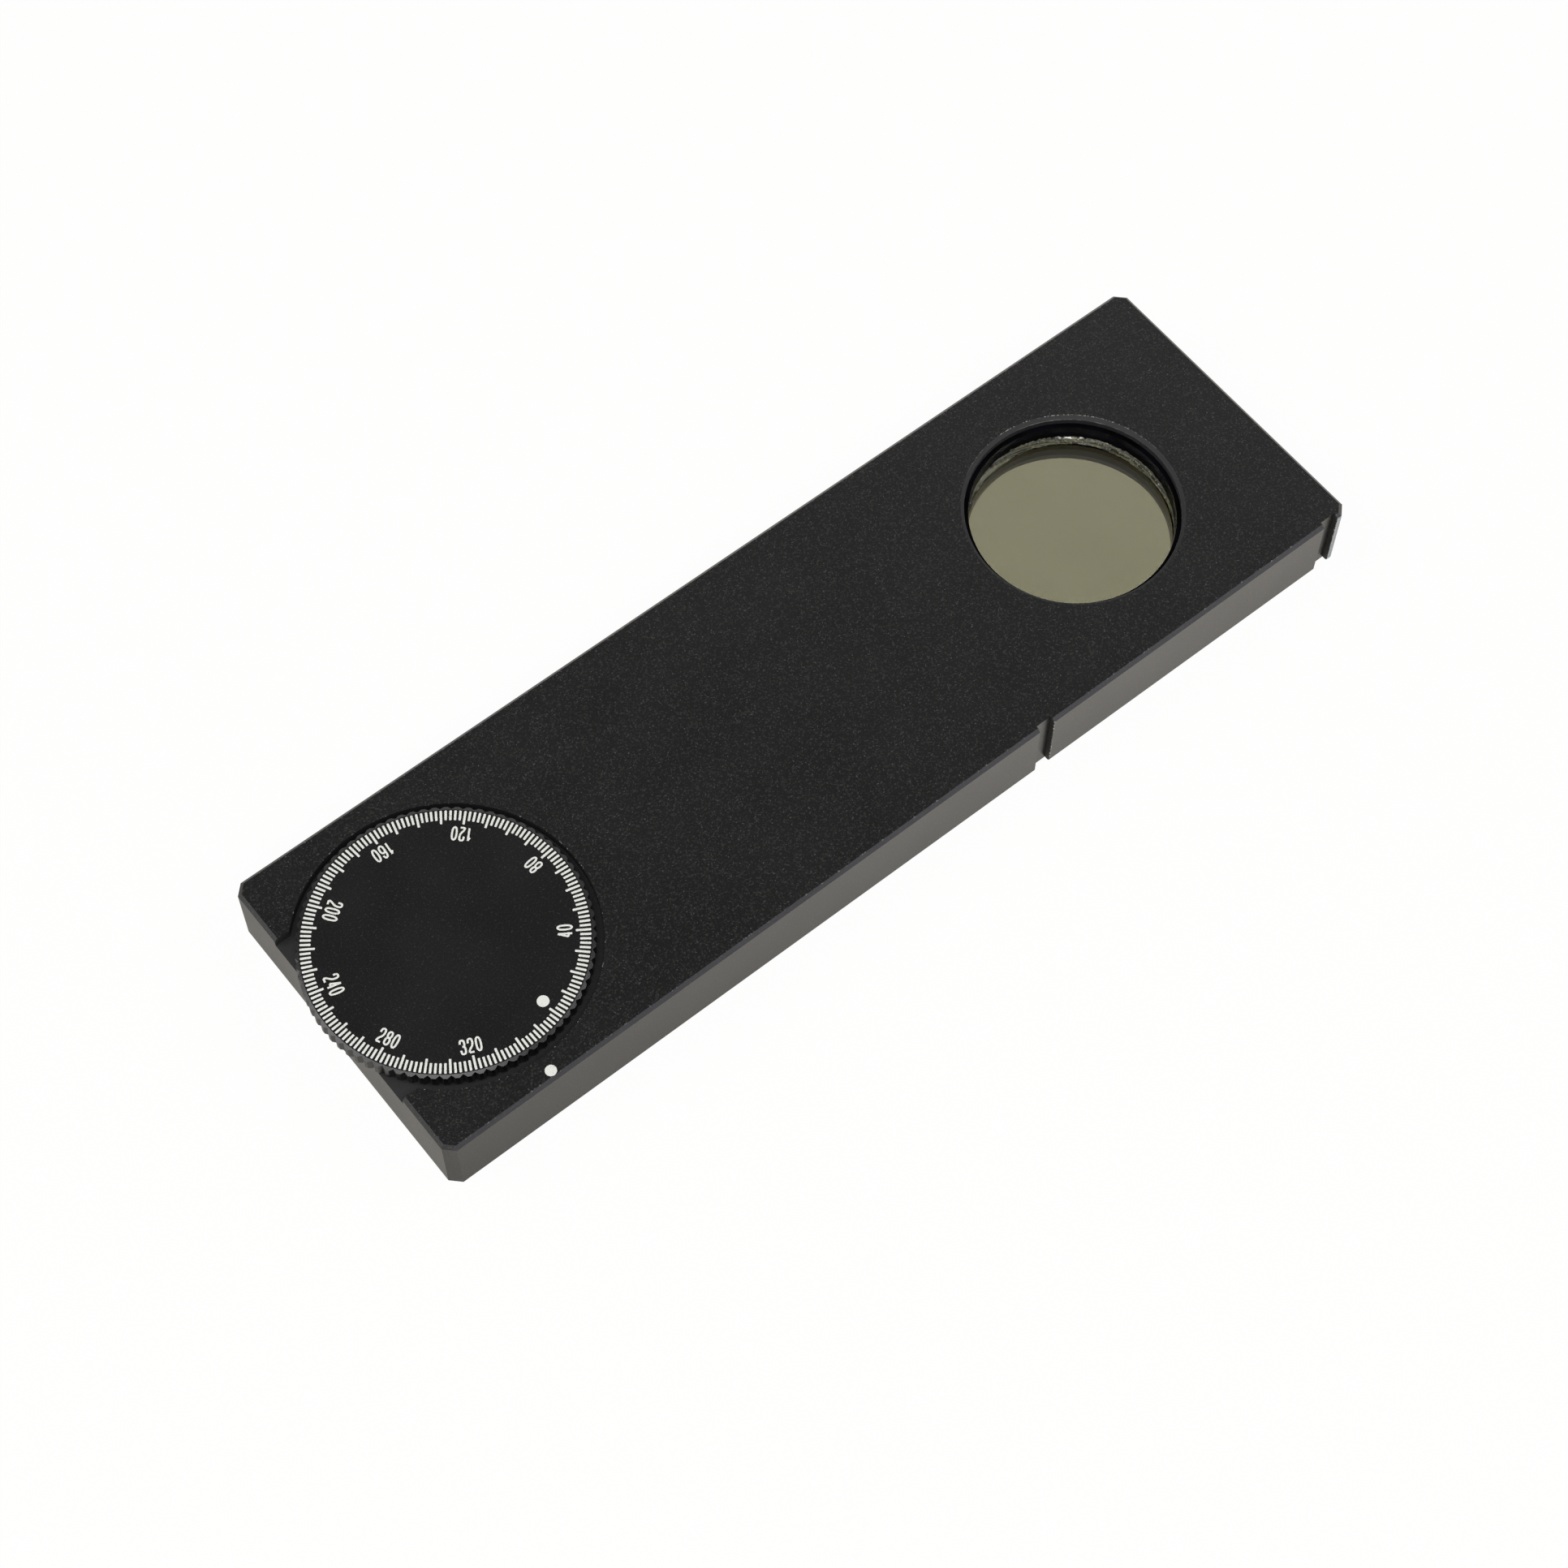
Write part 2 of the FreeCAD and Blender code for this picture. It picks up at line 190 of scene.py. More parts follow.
def add_node(tree, kind, settings=None, inputs=None):
    """Adds a node, sets its settings, and gives each named or numbered input a value or a socket to read."""
    node = tree.nodes.new(kind)
    for name, value in (settings or {}).items():
        setattr(node, name, value)
    for place, value in (inputs or {}).items():
        if isinstance(value, bpy.types.NodeSocket):
            tree.links.new(value, node.inputs[place])
        else:
            node.inputs[place].default_value = value
    return node


def opaque(colour):
    """A colour with full alpha, as colour sockets want it."""
    return (*colour, 1.0)


def blank_material(name):
    """A material with only a surface shader, and its tree, shader and Object coordinates."""
    material = bpy.data.materials.new(name)
    material.use_nodes = True
    tree = material.node_tree
    tree.nodes.clear()
    shader = add_node(tree, "ShaderNodeBsdfPrincipled")
    add_node(tree, "ShaderNodeOutputMaterial", inputs={"Surface": shader.outputs["BSDF"]})
    place = add_node(tree, "ShaderNodeTexCoord").outputs["Object"]
    return material, tree, shader, place


def speckle(tree, place, size, detail=2.0, stretch=(1, 1, 1)):
    """Noise from 0 to 1 with grains of this size."""
    stretched = add_node(tree, "ShaderNodeMapping", inputs={"Vector": place, "Scale": stretch})
    grain = add_node(tree, "ShaderNodeTexNoise", inputs={
        "Vector": stretched.outputs["Vector"], "Scale": 1 / size, "Detail": detail, "Roughness": 0.6})
    return grain.outputs["Fac"]


def spread(tree, value, low, high, to_low=0.0, to_high=1.0):
    """The value taken from one range to another, and held inside it."""
    ranged = add_node(tree, "ShaderNodeMapRange", {"clamp": True}, {
        "Value": value, "From Min": low, "From Max": high, "To Min": to_low, "To Max": to_high})
    return ranged.outputs["Result"]


def number_math(tree, operation, *values):
    """One step of arithmetic on numbers."""
    node = add_node(tree, "ShaderNodeMath", {"operation": operation}, dict(enumerate(values)))
    return node.outputs["Value"]


def vector_math(tree, operation, *values, output="Vector"):
    """One step of arithmetic on vectors."""
    node = add_node(tree, "ShaderNodeVectorMath", {"operation": operation}, dict(enumerate(values)))
    return node.outputs[output]


def axes_of(tree, vector):
    """A vector's x, y and z."""
    return tuple(add_node(tree, "ShaderNodeSeparateXYZ", inputs={0: vector}).outputs)


def blended(tree, share, first, second):
    """The first colour, passing to the second as share goes from 0 to 1."""
    mix = add_node(tree, "ShaderNodeMix", {"data_type": "RGBA"}, {0: share, 6: first, 7: second})
    return mix.outputs[2]


def near_value(tree, value, target, width):
    """1 where the value is at the target, falling to 0 over the width on both sides."""
    gap = number_math(tree, "ABSOLUTE", number_math(tree, "SUBTRACT", value, target))
    return spread(tree, gap, 0.4 * width, width, 1.0, 0.0)


def past(tree, value, limit, width=SOFT_STEP):
    """1 where the value is past the limit, with a soft step of this width."""
    return spread(tree, value, limit, limit + width)


def short_of(tree, value, limit, width=SOFT_STEP):
    """1 where the value is short of the limit, with a soft step of this width."""
    return spread(tree, value, limit - width, limit, 1.0, 0.0)


def all_of(tree, *masks):
    """The masks multiplied together."""
    share = masks[0]
    for mask in masks[1:]:
        share = number_math(tree, "MULTIPLY", share, mask)
    return share


def any_of(tree, *masks):
    """The strongest of the masks."""
    share = masks[0]
    for mask in masks[1:]:
        share = number_math(tree, "MAXIMUM", share, mask)
    return share


def level_from(tree, place, axis):
    """The level vector from an upright axis to a point."""
    moved = vector_math(tree, "SUBTRACT", place, (axis.x, axis.y, 0.0))
    return vector_math(tree, "MULTIPLY", moved, (1, 1, 0))


def radius_from(tree, place, axis):
    """The distance from an upright axis."""
    return vector_math(tree, "LENGTH", level_from(tree, place, axis), output="Value")


def toward(tree, place, axis, degrees, start, end):
    """0 to 1 as a point's direction from an upright axis nears the given one, start and end being cosines."""
    direction = math.radians(degrees)
    unit = vector_math(tree, "NORMALIZE", level_from(tree, place, axis))
    target = (math.cos(direction), math.sin(direction), 0.0)
    return spread(tree, vector_math(tree, "DOT_PRODUCT", unit, target, output="Value"), start, end)


def round_place(tree, place, axis):
    """Coordinates that change little round an upright axis, so that noise on them draws arcs."""
    height = axes_of(tree, place)[2]
    across = add_node(tree, "ShaderNodeCombineXYZ", inputs={"X": radius_from(tree, place, axis), "Y": height})
    return vector_math(tree, "MULTIPLY_ADD", place, (0.12, 0.12, 0.0), across.outputs["Vector"])


def rough_bump(tree, shader, height, depth):
    """Relief of this depth on the shader."""
    bump = add_node(tree, "ShaderNodeBump", inputs={"Height": height, "Distance": depth, "Strength": 1.0})
    tree.links.new(bump.outputs["Normal"], shader.inputs["Normal"])


def black_anodised(name, colours, roughness=(0.29, 0.32)):
    """Black anodised aluminium, bead blasted: a dark satin with specks 0.2 mm across, and a few brighter
    points painted as glints.

    Its clear oxide has an index of 1.65.
    """
    material, tree, shader, place = blank_material(name)
    fine = speckle(tree, place, 0.2 * MM, 3.0)
    broad = speckle(tree, place, 9 * MM, 1.0)
    lift = spread(tree, fine, 0.52, 0.78)
    colour = blended(tree, lift, opaque(colours.anodised), opaque(colours.anodised_speck))
    # Painted glints: sparse brighter points on the blasted grain
    points = spread(tree, speckle(tree, place, 0.17 * MM, 0.0), 0.74, 0.8, 0.0, 0.5)
    colour = blended(tree, points, colour, opaque(linear("60606A")))
    gloss = spread(tree, broad, 0.35, 0.65, *roughness)
    tree.links.new(gloss, shader.inputs["Roughness"])
    tree.links.new(colour, shader.inputs["Base Color"])
    shader.inputs["IOR"].default_value = 1.65
    rough_bump(tree, shader, fine, 0.006 * MM)
    return material, tree, shader, place, colour


def dull(tree, shader, mask, roughness):
    """Takes the shader's roughness to the given one where the mask is up."""
    gloss = shader.inputs["Roughness"].links[0].from_socket
    mix = add_node(tree, "ShaderNodeMix", {"data_type": "FLOAT"}, {0: mask, 2: gloss, 3: roughness})
    tree.links.new(mix.outputs[0], shader.inputs["Roughness"])


def body_finish(colours):
    """Black anodised slider: dull walls in its cuts darkened with painted shade, lighter bluish streaks on
    its top chamfers, a painted highlight on the near side, bare burrs, and painted glints on the window's
    rim.
    """
    material, tree, shader, place, colour = black_anodised("black_anodised_slider", colours)
    x, y, z = axes_of(tree, place)
    side = number_math(tree, "ABSOLUTE", y)
    from_window = radius_from(tree, place, WINDOW_AXIS)
    from_dial = radius_from(tree, place, DIAL_AXIS)
    top = past(tree, z, BODY_HIGH.z - 0.12 * MM, 0.1 * MM)
    sunk = short_of(tree, z, BODY_HIGH.z)

    # Painted shade: the window's lip, the notch walls that face the dial end and the recess round the dial
    # are darkened to near black where shade falls; the milled walls are also made dull
    lip = all_of(tree, short_of(tree, from_window, RIM_RADIUS + SOFT_STEP), sunk)
    normal = add_node(tree, "ShaderNodeNewGeometry").outputs["True Normal"]
    faces_dial_end = short_of(tree, axes_of(tree, normal)[0], -0.8, 0.1)
    notch = all_of(tree, past(tree, side, BODY_HIGH.y - NOTCH_DEPTH - MASK_REACH), faces_dial_end)
    circle_part = short_of(tree, from_dial, RECESS_RADIUS + MASK_REACH)
    slot_part = all_of(tree, short_of(tree, from_dial, SLOT_REACH),
                       short_of(tree, side, SLOT_HALF_WIDTH + MASK_REACH))
    above_floor = past(tree, z, RECESS_FLOOR - 0.03 * MM)
    recess = all_of(tree, sunk, above_floor, any_of(tree, circle_part, slot_part))
    milled = any_of(tree, lip, notch, recess)
    colour = blended(tree, milled, colour, opaque(colours.milled))
    dull(tree, shader, milled, 0.7)

    # Lighter bluish-grey streaks on the top chamfers of both long sides
    streaks = spread(tree, speckle(tree, place, 0.5 * MM, 2.0, (0.2, 1, 1)), 0.3, 0.7, 0.5, 1.0)
    chamfer = all_of(tree, past(tree, side, BODY_HIGH.y - TOP_CHAMFER),
                     past(tree, z, BODY_HIGH.z - TOP_CHAMFER), streaks)
    colour = blended(tree, chamfer, colour, opaque(linear("2A2A31")))
    # Painted highlight: a pale bluish band on the near side face, from the window-end notch to the corner
    near_side_highlight = all_of(tree, past(tree, x, NOTCH_ENDS[1]), short_of(tree, y, BODY_LOW.y + MASK_REACH), 0.75)
    colour = blended(tree, near_side_highlight, colour, opaque(linear("A4AEB4")))

    crumbs = spread(tree, speckle(tree, place, 0.24 * MM, 1.0), 0.52, 0.58)
    patches = spread(tree, speckle(tree, place, 1.2 * MM, 2.0), 0.42, 0.6, 0.1, 0.9)
    sparse = spread(tree, speckle(tree, place, 0.35 * MM, 1.0), 0.63, 0.7)
    flecks = spread(tree, speckle(tree, place, 0.3 * MM, 1.0), 0.57, 0.61)
    line = 0.045 * MM
    rim = near_value(tree, from_window, RIM_RADIUS, line)
    lip_edge = all_of(tree, near_value(tree, from_window, LIP_RADIUS, line),
                      near_value(tree, z, BODY_HIGH.z - TOP_CHAMFER, line))
    # Painted glints: the bare-metal dots on the window's rim are kept only on the far side, and those on the
    # lip edge only at the back, where they catch the light; the burrs at the recess, the long edges and the
    # notches are bare metal all round
    highlight_side = toward(tree, place, WINDOW_AXIS, 58, 0.45, 0.9)
    back = toward(tree, place, WINDOW_AXIS, 51, 0.8, 0.97)
    burrs_and_glints = [
        all_of(tree, rim, highlight_side, crumbs, top),
        all_of(tree, lip_edge, back, patches, 0.5),
        all_of(tree, near_value(tree, from_dial, RECESS_RADIUS, 0.08 * MM), sparse, top, 0.6),
        all_of(tree, near_value(tree, side, BODY_HIGH.y - TOP_CHAMFER, 0.1 * MM), sparse, top, 0.35),
    ]
    outside = short_of(tree, y, BODY_LOW.y + 0.12 * MM)
    for end in NOTCH_ENDS:
        burrs_and_glints.append(all_of(tree, near_value(tree, x, end, 0.2 * MM), outside, flecks))
    for edge_mark in burrs_and_glints:
        colour = blended(tree, edge_mark, colour, opaque(colours.bare_edge))
    tree.links.new(colour, shader.inputs["Base Color"])
    return material


def cover_finish(colours):
    """Black anodised cover plate, with the long faint lines of its milling."""
    material, tree, shader, place, _ = black_anodised("black_anodised_cover", colours)
    lines = speckle(tree, place, 0.4 * MM, 2.0, (0.02, 1, 1))
    rough_bump(tree, shader, lines, 0.008 * MM)
    return material


def dial_finish(colours):
    """Black anodised dial: the same satin in a deeper black, with painted shade darkest on its fluted rim."""
    material, tree, shader, place, colour = black_anodised("black_anodised_dial", colours)
    # Painted shade: 60 % of the shade black all over gives the dial its own deeper black, and the full shade
    # black lies on the fluted rim, where shade falls
    rim = spread(tree, radius_from(tree, place, DIAL_AXIS), 14.98 * MM, 15.08 * MM, 0.6, 1.0)
    colour = blended(tree, rim, colour, opaque(colours.milled))
    tree.links.new(colour, shader.inputs["Base Color"])
    return material


def cell_finish(colours):
    """Black anodised cell, finely turned: a smooth wall, so deep in the window that its colour is painted
    near black as shade.
    """
    material, tree, shader, place = blank_material("black_anodised_cell")
    cloud = spread(tree, speckle(tree, place, 4 * MM, 1.0), 0.35, 0.65)
    # Painted shade: the cell's wall takes the near-black shade colour, a little bluer in clouds
    colour = blended(tree, cloud, opaque(colours.milled), opaque(linear("0A0A10")))
    tree.links.new(colour, shader.inputs["Base Color"])
    tree.links.new(spread(tree, cloud, 0.0, 1.0, 0.14, 0.2), shader.inputs["Roughness"])
    shader.inputs["Specular IOR Level"].default_value = 0.03
    return material


def ring_finish(colours):
    """Black anodised retaining ring, turned: dark, with a soft gloss."""
    material, tree, shader, place, _ = black_anodised("black_anodised_ring", colours, (0.25, 0.35))
    turned = speckle(tree, place, 0.15 * MM, 1.0, (0.05, 0.05, 1))
    rough_bump(tree, shader, turned, 0.006 * MM)
    return material


def paint_finish(colours):
    """Engraving paint: off-white, matt, thin in small spots."""
    material, tree, shader, place = blank_material("engraving_paint")
    thin = spread(tree, speckle(tree, place, 0.25 * MM, 2.0), 0.58, 0.75, 0.0, 0.5)
    colour = blended(tree, thin, opaque(colours.paint), opaque(linear("8E8E8A")))
    tree.links.new(colour, shader.inputs["Base Color"])
    shader.inputs["Roughness"].default_value = 0.55
    return material


def glass_finish():
    """Coated optical glass: clear and sharp, with weak reflections and the faintest unevenness of tint."""
    material, tree, shader, place = blank_material("polished_glass")
    streak = spread(tree, speckle(tree, place, 6 * MM, 1.0), 0.3, 0.7)
    colour = blended(tree, streak, opaque(linear("FFFFFF")), opaque(linear("FDFEFC")))
    tree.links.new(colour, shader.inputs["Base Color"])
    shader.inputs["Transmission Weight"].default_value = 1.0
    shader.inputs["IOR"].default_value = 1.5
    shader.inputs["Specular IOR Level"].default_value = 0.02
    shader.inputs["Roughness"].default_value = 0.0
    return material


def film_finish(colours):
    """Polarizing film: neutral with an olive cast, a touch paler in places, with no gloss."""
    material, tree, shader, place = blank_material("polarizing_film")
    depth = speckle(tree, place, 7 * MM, 1.0)
    paler = tuple(min(1.0, c * 1.03) for c in colours.film)
    colour = blended(tree, spread(tree, depth, 0.35, 0.65), opaque(colours.film), opaque(paler))
    tree.links.new(colour, shader.inputs["Base Color"])
    shader.inputs["Transmission Weight"].default_value = 1.0
    shader.inputs["Roughness"].default_value = 0.0
    shader.inputs["IOR"].default_value = 1.5
    shader.inputs["Specular IOR Level"].default_value = 0.0
    return material


def cement_finish(colours):
    """Optical cement: cloudy dark olive resin, mottled pale on the right, with painted glints at the back."""
    material, tree, shader, place = blank_material("optical_cement")
    cloud = spread(tree, speckle(tree, round_place(tree, place, WINDOW_AXIS), 0.3 * MM, 2.0), 0.38, 0.62)
    colour = blended(tree, cloud, opaque(linear("23221A")), opaque(colours.cement))
    crumb = spread(tree, speckle(tree, place, 0.28 * MM, 2.0), 0.6, 0.66)
    right = toward(tree, place, WINDOW_AXIS, 10, 0.5, 0.9)
    colour = blended(tree, all_of(tree, crumb, right, 0.7), colour, opaque(linear("A29E84")))
    # Painted glints: near-white spots on the crest of the bead, at the back only
    back = toward(tree, place, WINDOW_AXIS, 49, math.cos(math.radians(8)), math.cos(math.radians(5)))
    crest = past(tree, axes_of(tree, place)[2], GLASS_HIGH.z + 0.18 * MM)
    glint = spread(tree, speckle(tree, place, 0.7 * MM, 0.0), 0.54, 0.58)
    colour = blended(tree, all_of(tree, glint, back, crest), colour, opaque(linear("F4F2E8")))
    tree.links.new(colour, shader.inputs["Base Color"])
    shader.inputs["Roughness"].default_value = 0.22
    shader.inputs["IOR"].default_value = 1.55
    rough_bump(tree, shader, cloud, 0.08 * MM)
    return material


def brass_finish(colours):
    """Hobbed brass: warm metal with fine cutter lines across the faces."""
    material, tree, shader, place = blank_material("hobbed_brass")
    lines = speckle(tree, place, 0.12 * MM, 2.0, (1, 0.08, 0.2))
    stain = speckle(tree, place, 3 * MM, 2.0)
    darker = tuple(c * 0.72 for c in colours.brass)
    colour = blended(tree, spread(tree, stain, 0.4, 0.7), opaque(colours.brass), opaque(darker))
    tree.links.new(colour, shader.inputs["Base Color"])
    tree.links.new(spread(tree, stain, 0.3, 0.7, 0.2, 0.36), shader.inputs["Roughness"])
    shader.inputs["Metallic"].default_value = 1.0
    rough_bump(tree, shader, lines, 0.004 * MM)
    return material


def ground_steel_finish(colours):
    """Ground steel: bright metal with fine rings round the pin."""
    material, tree, shader, place = blank_material("ground_steel")
    rings = speckle(tree, place, 0.08 * MM, 2.0, (0.1, 0.1, 1))
    shade = spread(tree, rings, 0.4, 0.6)
    darker = tuple(c * 0.8 for c in colours.steel)
    colour = blended(tree, shade, opaque(colours.steel), opaque(darker))
    tree.links.new(colour, shader.inputs["Base Color"])
    tree.links.new(spread(tree, rings, 0.3, 0.7, 0.18, 0.32), shader.inputs["Roughness"])
    shader.inputs["Metallic"].default_value = 1.0
    rough_bump(tree, shader, rings, 0.003 * MM)
    return material


def black_oxide_finish():
    """Black oxide on steel: near black, slightly brown, oiled."""
    material, tree, shader, place = blank_material("black_oxide_steel")
    cloud = speckle(tree, place, 0.35 * MM, 3.0)
    colour = blended(tree, spread(tree, cloud, 0.35, 0.7), opaque(linear("2A2928")), opaque(linear("454341")))
    tree.links.new(colour, shader.inputs["Base Color"])
    tree.links.new(spread(tree, cloud, 0.3, 0.7, 0.28, 0.42), shader.inputs["Roughness"])
    shader.inputs["Metallic"].default_value = 1.0
    return material


def washer_finish(colours):
    """Low-friction plastic: milky and matt, with faint skiving lines."""
    material, tree, shader, place = blank_material("milky_plastic")
    lines = speckle(tree, place, 0.2 * MM, 2.0, (1, 0.1, 1))
    darker = tuple(c * 0.9 for c in colours.washer)
    colour = blended(tree, spread(tree, lines, 0.4, 0.7), opaque(colours.washer), opaque(darker))
    tree.links.new(colour, shader.inputs["Base Color"])
    shader.inputs["Roughness"].default_value = 0.5
    rough_bump(tree, shader, lines, 0.004 * MM)
    return material


def finish_piece(bm, name, material, body, sharp_angle=30.0):
    """Makes the mesh a named object with its material, riding on its body."""
    bmesh.ops.recalc_face_normals(bm, faces=bm.faces)
    mesh = bpy.data.meshes.new(name)
    bm.to_mesh(mesh)
    bm.free()
    mesh.shade_smooth()
    mesh.set_sharp_from_angle(angle=math.radians(sharp_angle))
    mesh.materials.append(material)
    piece = bpy.data.objects.new(name, mesh)
    bpy.context.scene.collection.objects.link(piece)
    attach(piece, body)
    return piece


def circle(bm, axis, radius, z, segments, turn=0.0, filled=False):
    """A flat ring of vertices round an upright axis."""
    matrix = Matrix.Translation((axis.x, axis.y, z)) @ Matrix.Rotation(turn, 4, "Z")
    made = bmesh.ops.create_circle(bm, cap_ends=filled, segments=segments, radius=radius, matrix=matrix)
    return made["verts"]


def rim_edges(vertices):
    """The edges that join these vertices to each other."""
    chosen = set(vertices)
    edges = {edge for vertex in vertices for edge in vertex.link_edges}
    return [edge for edge in edges if edge.verts[0] in chosen and edge.verts[1] in chosen]


def set_radius(bm, vertices, axis, old, new):
    """Scales vertices on one radius round an upright axis to another."""
    factor = new / old
    space = Matrix.Translation((-axis.x, -axis.y, 0.0))
    bmesh.ops.scale(bm, vec=(factor, factor, 1.0), space=space, verts=vertices)


def step_rim(bm, edges):
    """Extrudes a rim and returns its new vertices and edges, still in the old place."""
    made = bmesh.ops.extrude_edge_only(bm, edges=edges)["geom"]
    vertices = [item for item in made if isinstance(item, bmesh.types.BMVert)]
    return vertices, rim_edges(vertices)


def disc(bm, axis, radius, low, high, bevel, segments=96):
    """A round plate with a small bevel on both edges."""
    bottom = circle(bm, axis, radius, low, segments, filled=True)
    face = bottom[0].link_faces[0]
    made = bmesh.ops.extrude_face_region(bm, geom=[face])["geom"]
    top = [item for item in made if isinstance(item, bmesh.types.BMVert)]
    bmesh.ops.translate(bm, vec=(0.0, 0.0, high - low), verts=top)
    if not any(face in vertex.link_faces for vertex in bottom):
        bmesh.ops.contextual_create(bm, geom=rim_edges(bottom))
    bmesh.ops.bevel(bm, geom=rim_edges(bottom) + rim_edges(top), offset=bevel, segments=1, profile=0.5,
                    affect="EDGES", material=-1)


def in_groove(vertex, flutes):
    """Whether a rim vertex lies at the bottom of a flute. One crest stands at the dial end."""
    angle = math.atan2(vertex.co.y - DIAL_AXIS.y, vertex.co.x - DIAL_AXIS.x) - math.pi
    share = (angle * flutes / (2 * math.pi)) % 1.0
    return abs(share - 0.5) < 0.1


def move_rim(bm, vertices, flutes, old, crest, groove):
    """Takes the rim's crests and grooves from their old radius and height to the new ones."""
    for in_bottom, (radius, z), (old_radius, old_z) in ((False, crest, old[0]), (True, groove, old[1])):
        part = [vertex for vertex in vertices if in_groove(vertex, flutes) == in_bottom]
        set_radius(bm, part, DIAL_AXIS, old_radius, radius)
        bmesh.ops.translate(bm, vec=(0.0, 0.0, z - old_z), verts=part)


def dial_mesh(sizes):
    """The dial from its top face outwards, down the flutes, under the rim and up into the spindle's bore."""
    bm = bmesh.new()
    crest = sizes.radius
    groove = crest - sizes.flute_depth
    flat = crest - sizes.slope_width
    drop = sizes.slope_drop
    groove_drop = drop * (groove - flat) / (crest - flat)
    bore = (SPINDLE_HIGH.x - SPINDLE_LOW.x) / 2 + 0.02 * MM
    top = DIAL_HIGH.z
    low = DIAL_LOW.z
    profile = [
        ((crest, top - drop), (groove, top - groove_drop)),
        ((crest, low + drop), (groove, low + groove_drop)),
        ((flat, low), (flat, low)),
        ((bore, low), (bore, low)),
        ((bore, low + sizes.bore_depth), (bore, low + sizes.bore_depth)),
    ]
    # Each flute takes three points, two on a crest and one in the groove
    points = 3 * sizes.flutes
    rim = circle(bm, DIAL_AXIS, flat, top, points, turn=math.pi / points, filled=True)
    edges = rim_edges(rim)
    old = ((flat, top), (flat, top))
    for place in profile:
        rim, edges = step_rim(bm, edges)
        move_rim(bm, rim, sizes.flutes, old, *place)
        old = place
    bmesh.ops.contextual_create(bm, geom=edges)
    return bm


class ANALYZER_OT_dial(bpy.types.Operator):
    """Make the fluted dial with the shallow slope on its rim."""

    bl_idname = "analyzer.dial"
    bl_label = "Dial"

    def execute(self, context):
        scene = context.scene
        material = dial_finish(scene.analyzer_colours)
        piece = finish_piece(dial_mesh(scene.analyzer_dial), "fluted_dial", material, "dial_group",
                             12.0)
        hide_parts("dial")
        return {"FINISHED"}


def tick(bm, angle, inner, outer, width, low, high):
    """One painted tick with slightly rounded corners."""
    made = bmesh.ops.create_cube(bm, size=1.0)["verts"]
    bmesh.ops.scale(bm, vec=(outer - inner, width, high - low), verts=made)
    half = (high - low) / 2
    uprights = [edge for edge in rim_edges(made) if abs(edge.verts[0].co.z - edge.verts[1].co.z) > half]
    bevelled = bmesh.ops.bevel(bm, geom=uprights, offset=0.18 * width, segments=1, profile=0.5,
                               affect="EDGES", material=-1)
    made = list({vertex for face in bevelled["faces"] for edge in face.edges for other in edge.link_faces
                 for vertex in other.verts})
    bmesh.ops.translate(bm, vec=((outer + inner) / 2, 0.0, (high + low) / 2), verts=made)
    place = Matrix.Translation((DIAL_AXIS.x, DIAL_AXIS.y, 0.0)) @ Matrix.Rotation(angle, 4, "Z")
    bmesh.ops.transform(bm, matrix=place, verts=made)


class ANALYZER_OT_ticks(bpy.types.Operator):
    """Paint the 180 ticks of the scale, every fifth one longer."""

    bl_idname = "analyzer.ticks"
    bl_label = "Scale ticks"

    def execute(self, context):
        sizes = context.scene.analyzer_scale
        bm = bmesh.new()
        low = DIAL_HIGH.z - sizes.paint_thick
        high = DIAL_HIGH.z + sizes.paint_thick
        for number in range(TICKS):
            length = sizes.long_tick if number % LONG_TICK_EVERY == 0 else sizes.short_tick
            angle = sizes.zero_direction + math.radians(number * 360 / TICKS)
            tick(bm, angle, sizes.outer_radius - length, sizes.outer_radius, sizes.tick_width, low, high)
        finish_piece(bm, "scale_ticks", paint_material(context), "dial_group")
        return {"FINISHED"}


def paint_material(context):
    """The scale's paint, made once."""
    return bpy.data.materials.get("engraving_paint") or paint_finish(context.scene.analyzer_colours)


def oval(low, high, half=1.0):
    """The corners of a closed narrow oval, for a smooth line inside them."""
    bend = 0.22 * (high - low)
    left = [(-0.45 * half, high), (-half, high - bend), (-half, low + bend), (-0.45 * half, low)]
    right = [(-across, up) for across, up in reversed(left)]
    return True, left + right


# The strokes of each numeral, from -1 to 1 across and 0 to 1 up, as (closed, points of a smooth line)
NUMERALS = {
    "0": [oval(0, 1)],
    "1": [(False, [(0.5, 0), (0.5, 0.5), (0.5, 1)]), (False, [(0.5, 1), (0.25, 0.83), (-0.4, 0.76)])],
    "2": [(False, [(-0.95, 0.7), (-0.95, 0.95), (-0.3, 1.02), (0.5, 1.02), (1, 0.9), (0.95, 0.6),
                   (0.4, 0.42), (-0.9, 0.18), (-1, 0)]),
          (False, [(-1, 0), (0, 0), (1, 0)])],
    "3": [(False, [(-0.95, 0.74), (-0.9, 0.98), (-0.2, 1.02), (0.6, 1), (0.95, 0.88), (0.9, 0.58),
                   (0.3, 0.53), (-0.2, 0.53)]),
          (False, [(-0.2, 0.53), (0.5, 0.54), (1, 0.42), (1, 0.12), (0.5, -0.01), (-0.4, -0.02),
                   (-0.95, 0.05), (-1, 0.28)])],
    "4": [(False, [(0.45, 0), (0.45, 0.5), (0.45, 1)]), (False, [(0.45, 1), (-0.28, 0.62), (-1, 0.25)]),
          (False, [(-1, 0.25), (0, 0.25), (1, 0.25)])],
    "6": [oval(0, 0.6),
          (False, [(-1, 0.3), (-1, 0.62), (-0.9, 0.9), (-0.2, 1.03), (0.6, 1.0), (0.9, 0.78)])],
    "8": [oval(0, 0.53), oval(0.53, 1, 0.88)],
}


